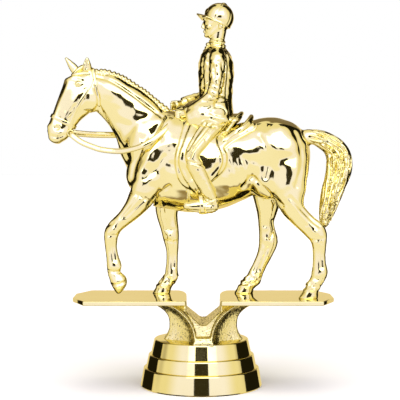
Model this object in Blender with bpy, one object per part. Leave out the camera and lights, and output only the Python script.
"""Trophy figure: a rider on a walking horse, standing on two plates that a forked bracket holds over a stepped round base.

The real object is one moulding, so the model is one solid. Sizes are in millimetres here and become metres in the mesh.
The horse faces -X, its near (left) side faces -Y, and +Z is up. The origin is the middle of the base's underside.
The figure's own shape is given in hundredths of its height above the plates, so one size scales it.
"""

import math

import bmesh
import bpy
from mathutils import Vector

MM = 0.001

FIGURE_HEIGHT = 99.6  # from the top of the plates to the top of the cap

BASE_TIERS = (
    # height, radius at the foot, radius at the top
    (6.5, 20.7, 19.7),
    (4.5, 18.8, 18.0),
    (5.2, 17.1, 16.1),
)
BASE_EDGE = 0.5  # rounding of each tier's upper edge
BASE_SEGMENTS = 64
BASE_SINK = 0.6  # how far the bracket runs into the base

PLATE_TOP = 30.7  # height of the surface that the hooves stand on
PLATE_THICKNESS = 1.5
PLATE_HALF_DEPTH = 15.6
PLATE_REACH = 44.0  # from the bracket's middle to the outer end of each plate
PLATE_GAP_HALF = 5.7  # from the bracket's middle to the inner end of each plate
PLATE_CHAMFER = 4.4
PLATE_CORNER = 2.6
PLATE_EDGE = 0.3

BRACKET_OFFSET = 0.7  # the bracket and plates stand this far behind the base's middle
FORK_FOOT_HALF = 3.0  # half the width of the fork's stem, where it meets the base
FORK_TOP_HALF = 12.4  # half the width of the fork, under the plates
FORK_FLARE = 2.8  # how suddenly the fork widens: a power of the height
FORK_NOTCH_DEPTH = 8.6  # from the plates' tops down to the floor of the notch
FORK_NOTCH_FLOOR_HALF = 0.9
FORK_NOTCH_KNEE = 4.2  # from the notch's floor up to where its sloping sides turn upright
FORK_FRONT = 15.2  # from the middle to the fork's front face
FORK_RECESS = 0.8  # depth of the sunk panel in the fork's front and back, at its foot
FORK_SCOOP = 5.0  # how much deeper that panel is under the plates
FORK_RIM = 0.55  # width of the raised rim round that panel
FORK_TAB_HALF = 3.5  # half the width of the stepped foot in front of the stem
FORK_TAB_STEPS = ((15.9, 0.9), (15.5, 2.2))  # each step's front face and its height above the base

WEB_WAIST_HALF = 11.5  # half the width of the web across the fork, at its waist
WEB_TOP_HALF = 22.5
WEB_FOOT_HALF = 13.9
WEB_FLARE = 3.0
WEB_THICKNESS = 5.4

VOXEL = 0.55
FIGURE_TRIANGLE_SHARE = 0.06

GOLD = (0.83, 0.66, 0.27, 1.0)

U = FIGURE_HEIGHT / 100.0  # the figure's unit: a hundredth of its height


def clear_scene():
    for old in list(bpy.data.objects):
        bpy.data.objects.remove(old)


def gold_material():
    material = bpy.data.materials.new("bright_gold_plating")
    material.use_nodes = True
    shader = material.node_tree.nodes["Principled BSDF"]
    shader.inputs["Base Color"].default_value = GOLD
    shader.inputs["Metallic"].default_value = 1.0
    shader.inputs["Roughness"].default_value = 0.12
    return material


def hermite(before, start, end, after, at):
    """One number or vector between start and end, with slopes read from the neighbours."""
    slope_in = (end - before) / 2
    slope_out = (after - start) / 2
    h1 = 2 * at**3 - 3 * at**2 + 1
    h2 = at**3 - 2 * at**2 + at
    h3 = at**3 - at**2
    h4 = 3 * at**2 - 2 * at**3
    return start * h1 + slope_in * h2 + slope_out * h3 + end * h4


def smooth_rows(rows, steps):
    """The rows of numbers with steps - 1 more between each pair, on a smooth curve."""
    rows = [Vector(row) for row in rows]
    padded = [2 * rows[0] - rows[1], *rows, 2 * rows[-1] - rows[-2]]
    found = []
    for i in range(1, len(padded) - 2):
        for step in range(steps):
            found.append(hermite(*padded[i - 1 : i + 3], step / steps))
    found.append(rows[-1])
    return found


def add_ring(bm, centre, tangent, half_in_plane, half_across, segments, pear=0.0):
    """A ring of vertices round the path: one half axis lies in the XZ plane, the other runs across it."""
    across = Vector((0, 1, 0))
    across = (across - tangent * across.dot(tangent)).normalized()
    in_plane = across.cross(tangent).normalized()
    ring = []
    for k in range(segments):
        turn = 2 * math.pi * k / segments
        up = math.cos(turn)
        side = math.sin(turn) * (1 - pear * up)
        ring.append(bm.verts.new(centre + in_plane * (half_in_plane * up) + across * (half_across * side)))
    return ring


def bridge(bm, ring, following):
    for k in range(len(ring)):
        after = (k + 1) % len(ring)
        bm.faces.new((ring[k], ring[after], following[after], following[k]))


def loft(bm, rows, segments=20, steps=3, caps=(0.6, 0.6), pear=0.0):
    """A closed, round-ended body through rows of x, y, z, half height in the XZ plane and half width across it."""
    path = smooth_rows(rows, steps)
    points = [Vector(row[:3]) * U for row in path]
    halves = [(max(row[3], 0.05) * U, max(row[4], 0.05) * U) for row in path]
    last = len(points) - 1
    tangents = [(points[min(i + 1, last)] - points[max(i - 1, 0)]).normalized() for i in range(last + 1)]
    rings = []
    cap_steps = 3
    for end, cap in ((0, caps[0]), (last, caps[1])):
        sign = -1 if end == 0 else 1
        reach = cap * min(halves[end])
        ends = []
        for step in range(1, cap_steps):
            turn = math.pi / 2 * step / cap_steps
            centre = points[end] + tangents[end] * (sign * reach * math.sin(turn))
            share = math.cos(turn)
            size = (halves[end][0] * share, halves[end][1] * share)
            ends.append((centre, tangents[end], *size))
        pole = points[end] + tangents[end] * (sign * reach)
        rings.append((ends, pole))
    body = [(points[i], tangents[i], *halves[i]) for i in range(last + 1)]
    sections = [*reversed(rings[0][0]), *body, *rings[1][0]]
    made = [add_ring(bm, *section, segments, pear) for section in sections]
    for ring, following in zip(made, made[1:]):
        bridge(bm, ring, following)
    for ring, pole, flip in ((made[0], rings[0][1], True), (made[-1], rings[1][1], False)):
        tip = bm.verts.new(pole)
        for k in range(segments):
            pair = (ring[k], ring[(k + 1) % segments])
            bm.faces.new((*(reversed(pair) if flip else pair), tip))


def ball(bm, centre, radii, segments=16, rings=10):
    """An ellipsoid from its centre and three half axes."""
    made = bmesh.ops.create_uvsphere(bm, u_segments=segments, v_segments=rings, radius=1.0)["verts"]
    for vert in made:
        vert.co = Vector([(c + v * r) * U for c, v, r in zip(centre, vert.co, radii)])


def hoof(bm, y, toe, heel, coronet_front, coronet_back, coronet, sole, half_width, segments=20):
    """A standing hoof: level rings from the coronet down to a sole that runs a little into the plate."""
    rings = []
    for share in (0.0, 0.5, 1.0):
        front = coronet_front + (toe - coronet_front) * share
        back = coronet_back + (heel - coronet_back) * share
        centre = Vector(((front + back) / 2, y, coronet + (sole - coronet) * share)) * U
        half = (back - front) / 2 * U
        width = half_width * (0.84 + 0.16 * share) * U
        rings.append(add_ring(bm, centre, Vector((0, 0, -1)), half, width, segments))
    for ring, following in zip(rings, rings[1:]):
        bridge(bm, ring, following)
    bm.faces.new(reversed(rings[0]))
    bm.faces.new(rings[-1])


def horse_body(bm):
    """Barrel, from the chest to the rump: x, top, bottom, half width."""
    outline = (
        (-23.0, 52.2, 38.0, 4.6),
        (-21.6, 57.4, 34.2, 7.4),
        (-19.0, 61.2, 32.1, 8.8),
        (-15.4, 63.9, 30.8, 9.7),
        (-8.8, 62.3, 29.4, 10.9),
        (-2.0, 59.4, 28.4, 11.7),
        (4.8, 58.4, 29.6, 11.8),
        (11.6, 58.4, 32.6, 11.1),
        (16.7, 59.3, 35.2, 10.5),
        (21.5, 60.8, 36.5, 10.8),
        (26.6, 60.8, 36.9, 11.2),
        (31.0, 58.9, 38.6, 10.4),
        (34.0, 56.4, 40.6, 8.4),
        (35.8, 53.7, 43.6, 5.0),
    )
    rows = [(x, 0, (top + low) / 2, (top - low) / 2, half) for x, top, low, half in outline]
    loft(bm, rows, segments=28, pear=0.12, caps=(0.6, 0.25))


def horse_neck_and_head(bm):
    neck = (
        (-15.0, 0, 51.0, 12.0, 7.6),
        (-18.0, 0, 53.7, 11.2, 6.8),
        (-20.8, 0, 58.3, 9.6, 5.4),
        (-24.4, 0, 62.9, 8.6, 4.5),
        (-28.1, 0, 66.3, 7.8, 3.9),
        (-31.4, 0, 68.5, 7.2, 3.4),
        (-34.4, 0, 69.9, 6.6, 3.1),
        (-36.9, 0, 71.4, 5.3, 2.8),
    )
    loft(bm, neck, segments=24)
    head = (
        (-37.6, 0, 76.2, 2.8, 2.3),
        (-38.9, 0, 73.3, 5.2, 3.1),
        (-40.6, 0, 69.8, 6.6, 3.4),
        (-42.5, 0, 66.2, 6.0, 3.3),
        (-44.7, 0, 62.9, 4.8, 2.7),
        (-46.5, 0, 59.9, 4.3, 2.35),
        (-47.7, 0, 57.8, 4.0, 2.3),
        (-48.9, 0, 55.4, 3.8, 2.45),
        (-49.8, 0, 53.4, 2.4, 1.8),
    )
    loft(bm, head, segments=20, caps=(0.8, 0.7))
    for side in (-1, 1):
        ball(bm, (-37.6, side * 1.9, 67.6), (4.4, 2.1, 5.1))
        ball(bm, (-41.9, side * 2.5, 71.9), (1.6, 0.9, 1.2))
    near_ear = ((-38.8, -1.7, 77.0, 1.7, 1.1), (-38.9, -2.1, 78.8, 1.5, 1.0), (-38.9, -2.4, 81.0, 0.5, 0.5))
    far_ear = ((-42.2, 1.5, 76.4, 1.7, 1.1), (-43.8, 1.9, 78.5, 1.4, 1.0), (-45.9, 2.2, 81.2, 0.5, 0.5))
    loft(bm, near_ear, segments=12)
    loft(bm, far_ear, segments=12)


def mane(bm):
    """Plaits in a row along the crest."""
    crest = smooth_rows(
        (
            (-36.4, 76.6),
            (-31.0, 76.3),
            (-26.0, 74.2),
            (-20.8, 70.9),
            (-15.4, 66.4),
            (-10.6, 63.4),
        ),
        4,
    )
    loft(bm, [(x, -0.6, z - 0.9, 1.3, 1.7) for x, z in crest], segments=12, steps=1)
    for x, z in crest:
        ball(bm, (x, -1.0, z - 0.7), (0.85, 1.7, 1.5), segments=10, rings=6)


def tail(bm):
    rows = (
        (34.0, 0, 53.3, 2.2, 1.8),
        (36.4, 0, 54.4, 2.6, 2.2),
        (39.2, 0, 54.3, 2.7, 2.4),
        (42.4, 0, 52.8, 3.2, 2.7),
        (45.3, -0.2, 50.5, 3.8, 3.0),
        (46.9, -0.6, 47.2, 4.4, 3.2),
        (46.8, -1.2, 43.0, 4.45, 3.2),
        (45.5, -2.0, 38.8, 4.0, 3.0),
        (44.0, -2.9, 34.4, 3.6, 2.8),
        (42.8, -3.8, 30.2, 3.0, 2.5),
        (41.9, -4.6, 26.8, 2.4, 2.2),
        (41.4, -5.2, 24.3, 1.6, 1.8),
    )
    loft(bm, rows, segments=18)


def near_foreleg(bm):
    rows = (
        (-14.6, -5.6, 50.0, 6.2, 3.6),
        (-17.0, -6.4, 42.2, 6.0, 3.8),
        (-19.6, -6.8, 35.0, 4.7, 3.5),
        (-22.8, -7.0, 30.2, 3.5, 2.9),
        (-26.0, -7.0, 26.8, 2.7, 2.4),
        (-28.7, -7.0, 24.4, 2.5, 2.1),
        (-30.0, -7.0, 22.3, 2.6, 2.1),
        (-30.4, -7.0, 20.2, 2.35, 1.9),
        (-30.3, -7.0, 16.8, 2.05, 1.55),
        (-29.8, -7.0, 13.6, 2.2, 1.5),
        (-29.3, -7.0, 10.9, 2.6, 1.8),
        (-29.5, -7.0, 8.9, 2.15, 1.55),
        (-28.8, -7.0, 7.4, 2.4, 1.7),
        (-27.8, -7.0, 5.6, 3.0, 2.15),
        (-27.8, -7.0, 3.9, 2.3, 2.1),
        (-27.9, -7.0, 2.3, 1.2, 1.5),
        (-28.0, -7.0, 1.5, 0.4, 0.7),
    )
    loft(bm, rows, segments=18)


def far_foreleg(bm):
    rows = (
        (-10.5, 5.6, 46.0, 6.0, 3.6),
        (-11.2, 6.4, 37.5, 5.0, 3.5),
        (-11.9, 6.9, 29.8, 4.1, 3.0),
        (-11.7, 7.0, 26.4, 3.6, 2.6),
        (-10.9, 7.0, 22.5, 3.15, 2.25),
        (-10.5, 7.0, 19.4, 2.9, 2.15),
        (-10.1, 7.0, 15.9, 2.3, 1.75),
        (-10.1, 7.0, 12.1, 2.05, 1.5),
        (-10.3, 7.0, 8.0, 2.25, 1.6),
        (-10.5, 7.0, 5.9, 2.6, 1.85),
        (-11.8, 7.0, 4.0, 2.4, 1.75),
        (-12.8, 7.0, 2.8, 2.6, 1.9),
    )
    loft(bm, rows, segments=18)
    hoof(bm, 7.0, -17.2, -10.6, -15.3, -10.4, 3.2, -0.3, 2.5)


def near_hind_leg(bm):
    rows = (
        (28.0, -4.6, 51.0, 8.2, 5.4),
        (28.8, -5.9, 43.8, 7.6, 5.2),
        (29.3, -6.9, 36.8, 6.1, 4.5),
        (30.5, -7.5, 31.0, 4.2, 3.5),
        (32.4, -7.6, 28.2, 3.5, 2.7),
        (35.5, -7.6, 25.1, 3.3, 2.2),
        (38.7, -7.6, 22.1, 3.5, 2.1),
        (39.6, -7.6, 18.5, 2.6, 1.85),
        (39.6, -7.6, 14.9, 2.2, 1.6),
        (39.7, -7.6, 11.5, 2.35, 1.6),
        (39.8, -7.6, 8.6, 2.8, 1.9),
        (38.7, -7.6, 5.9, 2.3, 1.7),
        (37.3, -7.6, 3.6, 2.5, 1.9),
    )
    loft(bm, rows, segments=18)
    hoof(bm, -7.6, 32.3, 39.4, 34.8, 39.5, 3.6, -0.3, 2.6)


def far_hind_leg(bm):
    rows = (
        (26.0, 4.8, 50.0, 8.2, 5.2),
        (24.4, 6.0, 42.5, 7.6, 4.8),
        (23.2, 6.8, 35.0, 5.6, 4.0),
        (22.9, 7.2, 29.0, 3.8, 3.1),
        (22.6, 7.4, 24.8, 2.8, 2.4),
        (23.0, 7.4, 21.4, 3.0, 2.1),
        (23.4, 7.4, 18.0, 3.4, 2.05),
        (22.3, 7.4, 14.0, 2.75, 1.85),
        (20.5, 7.4, 10.0, 2.45, 1.6),
        (18.9, 7.4, 6.6, 2.6, 1.65),
        (18.0, 7.4, 4.7, 2.8, 1.85),
        (16.5, 7.4, 3.4, 2.5, 1.75),
        (15.6, 7.4, 2.6, 2.5, 1.9),
    )
    loft(bm, rows, segments=18)
    hoof(bm, 7.4, 11.2, 18.2, 13.2, 18.3, 3.0, -0.3, 2.5)


def muscles(bm):
    """Rounded masses under the coat, on both sides."""
    for side in (-1, 1):
        ball(bm, (-16.2, side * 5.6, 46.5), (6.2, 4.6, 10.0))
        ball(bm, (-22.0, side * 4.2, 41.5), (3.4, 3.8, 6.0))
        ball(bm, (25.0, side * 5.0, 51.0), (9.5, 6.2, 8.6))
        ball(bm, (22.0, side * 6.0, 41.0), (5.6, 4.4, 7.0))


def saddle(bm):
    """Seat, flaps and cloth, wrapped over the back from one side to the other."""
    sides = (-1, 1)
    seat = (
        (-6.8, 0, 61.6, 1.6, 3.4),
        (-3.0, 0, 60.4, 2.0, 5.2),
        (3.0, 0, 59.2, 2.0, 6.6),
        (8.6, 0, 60.0, 2.0, 6.4),
        (12.0, 0, 61.0, 1.6, 5.0),
    )
    loft(bm, seat, segments=20)
    cloth = ((-6.5, 60.0), (0.0, 58.6), (7.0, 58.2), (13.6, 59.4), (16.4, 60.0))
    loft(bm, [(x, 0, z - 2.4, 3.1, 8.4) for x, z in cloth], segments=24)
    for side in sides:
        flap = (
            (2.6, side * 8.4, 57.6, 8.6, 1.6),
            (1.0, side * 10.9, 53.0, 8.0, 1.3),
            (-0.4, side * 11.7, 48.0, 7.4, 1.0),
            (0.2, side * 11.6, 43.0, 6.4, 1.0),
            (1.2, side * 10.9, 39.4, 4.4, 0.9),
        )
        loft(bm, flap, segments=20)


def rider_trunk(bm):
    rows = (
        (5.4, 0, 86.2, 2.3, 2.4),
        (5.3, 0, 84.2, 3.6, 4.6),
        (5.1, 0, 82.2, 5.0, 6.6),
        (5.0, 0, 79.6, 5.8, 7.2),
        (5.1, 0, 76.1, 6.1, 6.8),
        (5.0, 0, 72.1, 5.9, 6.2),
        (4.9, 0, 68.1, 5.7, 5.9),
        (5.0, 0, 64.6, 5.8, 7.0),
        (5.0, 0, 61.4, 6.2, 8.4),
        (5.2, 0, 59.2, 6.0, 8.2),
    )
    loft(bm, rows, segments=24, caps=(0.3, 0.3))
    ball(bm, (-1.0, 0, 62.4), (6.0, 6.4, 4.6))
    for side in (-1, 1):
        skirt = (
            (5.4, side * 5.2, 66.6, 3.6, 2.4),
            (4.9, side * 6.8, 62.8, 4.6, 2.6),
            (4.4, side * 8.4, 59.4, 5.4, 2.6),
            (4.0, side * 9.4, 57.4, 5.6, 2.3),
        )
        loft(bm, skirt, segments=18)


def rider_arms(bm):
    near = (
        (5.5, -5.6, 82.6, 2.5, 2.2),
        (5.4, -7.4, 80.2, 2.8, 2.4),
        (5.1, -8.6, 75.0, 2.5, 2.2),
        (4.5, -9.1, 70.4, 2.3, 2.1),
        (3.2, -8.8, 67.4, 2.3, 2.0),
        (0.3, -7.8, 65.4, 2.1, 1.9),
        (-3.0, -6.2, 63.6, 1.85, 1.7),
        (-5.8, -4.6, 62.2, 1.5, 1.5),
    )
    far = (
        (5.5, 5.6, 82.6, 2.5, 2.2),
        (5.4, 7.4, 80.2, 2.8, 2.4),
        (5.0, 8.8, 75.0, 2.5, 2.2),
        (4.2, 9.2, 71.4, 2.3, 2.1),
        (2.6, 9.0, 69.0, 2.3, 2.0),
        (-0.8, 8.0, 67.8, 2.1, 1.9),
        (-4.6, 6.4, 66.8, 1.8, 1.7),
        (-7.6, 4.6, 65.6, 1.5, 1.5),
    )
    loft(bm, near, segments=16)
    loft(bm, far, segments=16)
    ball(bm, (-6.6, 0.0, 62.8), (2.8, 3.0, 2.4))
    ball(bm, (-8.0, -3.4, 62.2), (2.2, 1.7, 1.9))
    ball(bm, (-9.8, 3.0, 64.6), (2.2, 1.7, 1.9))


def rider_legs(bm):
    for side in (-1, 1):
        leg = (
            (6.2, side * 4.6, 60.6, 4.2, 3.6),
            (3.0, side * 8.4, 57.0, 3.8, 3.4),
            (-0.2, side * 11.3, 53.0, 3.1, 2.9),
            (-2.9, side * 12.5, 48.9, 2.7, 2.5),
            (-2.8, side * 12.6, 45.8, 2.7, 2.4),
            (-1.2, side * 12.5, 43.0, 2.75, 2.3),
            (0.8, side * 12.0, 39.0, 2.6, 2.2),
            (2.7, side * 11.3, 35.2, 2.2, 1.9),
            (4.0, side * 10.8, 32.6, 2.0, 1.8),
        )
        loft(bm, leg, segments=16)
        foot = (
            (5.3, side * 10.6, 31.0, 1.7, 1.4),
            (2.8, side * 10.7, 30.8, 1.8, 1.5),
            (-0.4, side * 10.9, 30.6, 1.5, 1.6),
            (-3.2, side * 11.1, 30.3, 1.1, 1.4),
            (-4.6, side * 11.2, 30.1, 0.8, 1.0),
        )
        loft(bm, foot, segments=14)


def rider_head(bm):
    neck = ((5.2, 0, 84.8, 2.8, 2.8), (4.9, 0, 87.4, 2.4, 2.4), (5.0, 0, 90.4, 2.6, 2.6))
    loft(bm, neck, segments=16)
    ball(bm, (5.7, 0, 93.6), (4.5, 3.5, 4.6))
    face = (
        (4.2, 0, 96.0, 3.4, 3.0),
        (3.3, 0, 92.8, 3.0, 2.9),
        (3.0, 0, 90.4, 2.5, 2.4),
        (2.4, 0, 88.8, 1.6, 1.6),
    )
    loft(bm, face, segments=16)
    nose = ((1.0, 0, 93.8, 0.7, 0.5), (0.2, 0, 92.1, 0.8, 0.7))
    loft(bm, nose, segments=10)
    ball(bm, (6.4, 0, 95.0), (5.2, 4.2, 4.9), segments=20, rings=14)
    ball(bm, (7.9, 0, 99.6), (0.8, 0.8, 0.45))
    brim = ((4.4, 0, 94.8, 0.7, 4.0), (1.6, 0, 95.2, 0.6, 3.5), (-1.0, 0, 95.4, 0.4, 1.7))
    loft(bm, brim, segments=16)


def reins(bm):
    """Straps from the bit to the hands: the near one crosses the neck, the far one runs behind it."""
    near = (
        (-44.6, -2.4, 54.9, 0.9, 0.7),
        (-40.6, -4.2, 52.3, 0.9, 0.7),
        (-34.8, -6.4, 50.3, 0.95, 0.7),
        (-28.0, -8.0, 49.5, 0.95, 0.7),
        (-23.0, -9.2, 50.2, 0.85, 0.7),
        (-19.0, -9.8, 51.6, 0.8, 0.8),
        (-15.2, -9.6, 54.0, 0.8, 0.9),
        (-11.4, -8.0, 57.4, 0.75, 1.0),
        (-8.6, -4.6, 60.8, 0.75, 0.9),
    )
    far = (
        (-43.8, 2.4, 56.2, 0.9, 0.7),
        (-37.4, 4.0, 55.2, 1.0, 0.7),
        (-31.0, 5.4, 55.1, 1.1, 0.7),
        (-26.0, 6.6, 55.2, 1.1, 0.75),
        (-20.5, 8.0, 56.2, 0.9, 0.9),
        (-15.0, 7.6, 58.6, 0.8, 1.0),
        (-10.6, 4.2, 63.4, 0.8, 0.9),
    )
    loft(bm, near, segments=10)
    loft(bm, far, segments=10)


def figure_object():
    bm = bmesh.new()
    for make in (
        horse_body,
        horse_neck_and_head,
        mane,
        tail,
        near_foreleg,
        far_foreleg,
        near_hind_leg,
        far_hind_leg,
        muscles,
        saddle,
        rider_trunk,
        rider_arms,
        rider_legs,
        rider_head,
        reins,
    ):
        make(bm)
    bmesh.ops.recalc_face_normals(bm, faces=bm.faces)
    for vert in bm.verts:
        vert.co = (vert.co + Vector((0, 0, PLATE_TOP))) * MM
    mesh = bpy.data.meshes.new("figure")
    bm.to_mesh(mesh)
    bm.free()
    figure = bpy.data.objects.new("horse_and_rider_trophy", mesh)
    bpy.context.scene.collection.objects.link(figure)
    remesh = figure.modifiers.new("one_skin", "REMESH")
    remesh.mode = "VOXEL"
    remesh.voxel_size = VOXEL * MM
    smooth = figure.modifiers.new("soft_joins", "SMOOTH")
    smooth.factor = 0.5
    smooth.iterations = 3
    thin = figure.modifiers.new("fewer_faces", "DECIMATE")
    thin.ratio = FIGURE_TRIANGLE_SHARE
    return figure


def turned(name, profile, segments):
    """A solid of revolution about Z, from a profile of radius and height that starts and ends on the axis."""
    bm = bmesh.new()
    verts = [bm.verts.new((radius * MM, 0, height * MM)) for radius, height in profile]
    edges = [bm.edges.new(pair) for pair in zip(verts, verts[1:])]
    bmesh.ops.spin(
        bm,
        geom=verts + edges,
        cent=(0, 0, 0),
        axis=(0, 0, 1),
        angle=2 * math.pi,
        steps=segments,
        use_merge=True,
    )
    bmesh.ops.remove_doubles(bm, verts=bm.verts, dist=1e-6)
    bmesh.ops.recalc_face_normals(bm, faces=bm.faces)
    return helper(name, bm)


def helper(name, bm):
    """A mesh that another object's Boolean uses, and that isn't a part itself."""
    mesh = bpy.data.meshes.new(name)
    bm.to_mesh(mesh)
    bm.free()
    made = bpy.data.objects.new(name, mesh)
    made.hide_render = True
    made.display_type = "WIRE"
    bpy.context.scene.collection.objects.link(made)
    return made


def stepped_base():
    height = 0.0
    profile = [(0.0, 0.0)]
    for tier_height, foot, top in BASE_TIERS:
        profile.append((foot, height))
        height += tier_height
        profile.append((top, height - BASE_EDGE))
        profile.append((top - BASE_EDGE * 0.3, height - BASE_EDGE * 0.3))
        profile.append((top - BASE_EDGE, height))
    profile.append((0.0, height))
    return turned("stepped_base", profile, BASE_SEGMENTS)


def prism(name, outline, low, high, axis="Z"):
    """An outline of two coordinates, extruded along the third axis from low to high."""
    bm = bmesh.new()

    def place(u, v, w):
        return Vector((u, v, w)) * MM if axis == "Z" else Vector((u, w, v)) * MM

    lower = [bm.verts.new(place(u, v, low)) for u, v in outline]
    face = bm.faces.new(lower)
    upper = bmesh.ops.extrude_face_region(bm, geom=[face])["geom"]
    shift = place(0, 0, high) - place(0, 0, low)
    bmesh.ops.translate(bm, verts=[v for v in upper if isinstance(v, bmesh.types.BMVert)], vec=shift)
    bmesh.ops.recalc_face_normals(bm, faces=bm.faces)
    return helper(name, bm)


def arc(centre, radius, start, end, steps):
    """Points on an arc, angles in degrees."""
    found = []
    for k in range(steps + 1):
        turn = math.radians(start + (end - start) * k / steps)
        found.append((centre[0] + radius * math.cos(turn), centre[1] + radius * math.sin(turn)))
    return found


def plate(name, side):
    """One plate: chamfered at its outer end, rounded at its inner end."""
    depth = PLATE_HALF_DEPTH
    inner, outer = PLATE_GAP_HALF, PLATE_REACH
    corner = PLATE_CORNER
    outline = [(outer - PLATE_CHAMFER, -depth), (outer, -depth * 0.35), (outer, depth * 0.35)]
    outline.append((outer - PLATE_CHAMFER, depth))
    outline += arc((inner + corner, depth - corner), corner, 90, 180, 5)
    outline += arc((inner + corner, -depth + corner), corner, 180, 270, 5)
    outline = [(BRACKET_OFFSET + side * x, y) for x, y in outline]
    made = prism(name, outline, PLATE_TOP - PLATE_THICKNESS, PLATE_TOP)
    edge = made.modifiers.new("eased_edge", "BEVEL")
    edge.width = PLATE_EDGE * MM
    edge.segments = 1
    edge.limit_method = "ANGLE"
    edge.angle_limit = math.radians(50)
    return made


def flare(low, high, narrow, wide, steps, power):
    """Half widths that grow from narrow at the low height to wide at the high one, ever faster."""
    found = []
    for k in range(steps + 1):
        share = k / steps
        found.append((narrow + (wide - narrow) * share**power, low + (high - low) * share))
    return found


def base_height():
    return sum(tier[0] for tier in BASE_TIERS)


def notch_side(top, grow=0.0):
    """The right side of the notch, from the top down: upright under the plate's inner end, then sloping to the floor."""
    floor = PLATE_TOP - FORK_NOTCH_DEPTH
    wide = PLATE_GAP_HALF + grow
    return [(wide, top), (wide, floor + FORK_NOTCH_KNEE), (FORK_NOTCH_FLOOR_HALF, floor - grow)]


def mirrored(right):
    """A closed outline about the bracket's middle, from its right half, listed from the bottom up and in."""
    return [(BRACKET_OFFSET + x, z) for x, z in right] + [(BRACKET_OFFSET - x, z) for x, z in reversed(right)]


def fork_outline(inset=0.0):
    """The fork seen from the front: a stem that flares into two arms with a notch between them."""
    foot = base_height() - BASE_SINK
    top = PLATE_TOP - PLATE_THICKNESS / 2
    side = [(x - inset, z) for x, z in flare(foot, top, FORK_FOOT_HALF, FORK_TOP_HALF, 12, FORK_FLARE)]
    return mirrored(side + notch_side(top, inset))


def scooped_panel(name, side):
    """The space in front of one sunk panel, which leans back as it rises."""
    start, end = side * (FORK_FRONT - FORK_RECESS), side * (FORK_FRONT + 1)
    panel = prism(name, fork_outline(FORK_RIM), min(start, end), max(start, end), axis="Y")
    foot, top = base_height(), PLATE_TOP
    for vert in panel.data.vertices:
        if abs(vert.co.y - start * MM) < 1e-6:
            rise = (vert.co.z / MM - foot) / (top - foot)
            vert.co.y -= side * FORK_SCOOP * MM * max(rise, 0)
    return panel


def fork():
    """The fork, with a sunk panel in its front and back and a stepped tab at each foot."""
    made = prism("fork", fork_outline(), -FORK_FRONT, FORK_FRONT, axis="Y")
    cut(made, scooped_panel("near_panel", -1))
    cut(made, scooped_panel("far_panel", 1))
    low = base_height() - BASE_SINK
    for step, (front, height) in enumerate(FORK_TAB_STEPS):
        top = base_height() + height
        right = [(FORK_TAB_HALF, low), (FORK_TAB_HALF - 0.3 * height, top)]
        tab = prism(f"tab_step_{step}", mirrored(right), -front, front, axis="Y")
        boolean(made, tab, "UNION")
    return made


def web():
    """The wide, waisted web that crosses the fork under the plates."""
    foot, top = base_height() - BASE_SINK, PLATE_TOP - PLATE_THICKNESS / 2
    waist = foot + (top - foot) * 0.36
    lower = [(x, 2 * waist - z) for x, z in flare(waist, 2 * waist - foot, WEB_WAIST_HALF, WEB_FOOT_HALF, 5, 2)]
    upper = flare(waist, top, WEB_WAIST_HALF, WEB_TOP_HALF, 9, WEB_FLARE)
    right = list(reversed(lower)) + upper[1:]
    return prism("web", mirrored(right + notch_side(top)), -WEB_THICKNESS / 2, WEB_THICKNESS / 2, axis="Y")


def boolean(target, tool, operation):
    step = target.modifiers.new(f"{operation.lower()}_{tool.name}", "BOOLEAN")
    step.object = tool
    step.operation = operation
    return target


def join(target, *tools):
    for tool in tools:
        boolean(target, tool, "UNION")
    return target


def cut(target, tool):
    return boolean(target, tool, "DIFFERENCE")


def main():
    clear_scene()
    figure = figure_object()
    base = stepped_base()
    join(figure, base, fork(), web(), plate("front_plate", -1), plate("rear_plate", 1))
    figure.data.materials.append(gold_material())


main()
